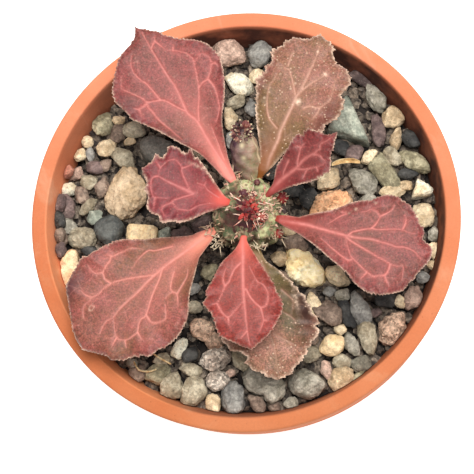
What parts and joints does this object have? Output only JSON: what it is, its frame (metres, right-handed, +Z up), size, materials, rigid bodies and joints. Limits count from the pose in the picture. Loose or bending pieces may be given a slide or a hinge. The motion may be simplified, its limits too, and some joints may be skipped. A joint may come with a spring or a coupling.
{
  "type": "potted succulent plant",
  "caption": "Young caudex succulent with a thick bumpy stem, broad red-veined leaves and a side shoot, in a round terracotta pot topped with mixed gravel.",
  "frame": {"origin": "middle of the pot's foot, at the level of the surface it stands on", "axes": "+Z up along the pot's axis, +Y towards the leaf tips at the top of the picture"},
  "size_m": [0.11, 0.11, 0.1144],
  "materials": {
    "terracotta": "matte unglazed clay",
    "potting_mix": "loose dark soil",
    "gravel": "mixed grey, tan and cream grit",
    "pumice": "pale porous stone",
    "slate": "smooth dark stone",
    "pebble": "smooth grey and green pebble",
    "lava": "orange porous stone",
    "stem": "grey-green succulent skin with pale spines",
    "young_leaf": "dark red young growth",
    "leaf": "fleshy red-brown leaf with pink veins"
  },
  "bodies": {
    "root": {"pot": "terracotta", "potting_mix": "potting_mix", "gravel": "gravel", "stone_tan_pumice": "pumice", "stone_dark_slate": "slate", "stone_blue_slate": "slate", "stone_peach": "pumice", "stone_cream_wedge": "pumice", "stone_pink_angular": "pebble", "stone_blue_round": "pebble", "stone_cream_top": "pumice", "stone_green_wedge": "pebble", "stone_lava": "lava", "stone_cream_pumice": "pumice", "stone_grey_large": "pebble", "stone_crumbly": "pebble", "stone_granular": "pebble", "stone_yellow_round": "pumice", "stone_white_triangle": "pumice", "stone_long_green": "pebble", "stem": "stem", "side_shoot": "stem", "crown": "young_leaf", "shoot_crown": "young_leaf", "bud_purple": "young_leaf", "bud_spined": "young_leaf", "bud_red": "young_leaf", "bud_low": "young_leaf", "leaf_upper_left": "leaf", "leaf_upper_right": "leaf", "leaf_small_right": "leaf", "leaf_right": "leaf", "leaf_small_front": "leaf", "leaf_front": "leaf", "leaf_lower_left": "leaf", "leaf_small_left": "leaf"}
  },
  "joints": []
}
